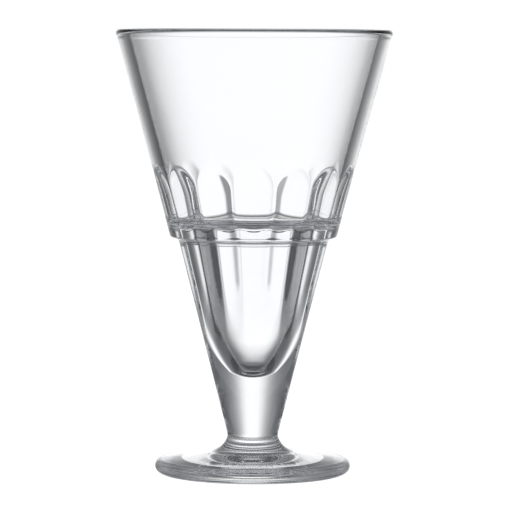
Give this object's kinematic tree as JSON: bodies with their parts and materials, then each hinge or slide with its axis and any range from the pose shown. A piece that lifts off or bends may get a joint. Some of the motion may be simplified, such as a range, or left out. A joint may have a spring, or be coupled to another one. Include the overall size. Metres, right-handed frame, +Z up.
{
  "type": "parfait glass",
  "caption": "Footed parfait glass of thick clear glass: a flared cup over a narrow tapered well with panels pressed inside, on a short solid stem and a round foot.",
  "frame": {"origin": "middle of the foot's underside, at the height of the ring that it stands on", "axes": "+Z up along the glass's axis, towards the rim; a panel faces -Y, towards the viewer"},
  "size_m": [0.1002, 0.1, 0.1611],
  "materials": {
    "clear_glass": "fire-polished clear glass"
  },
  "bodies": {
    "root": {"bowl": "clear_glass", "stem": "clear_glass", "foot": "clear_glass"}
  },
  "joints": []
}
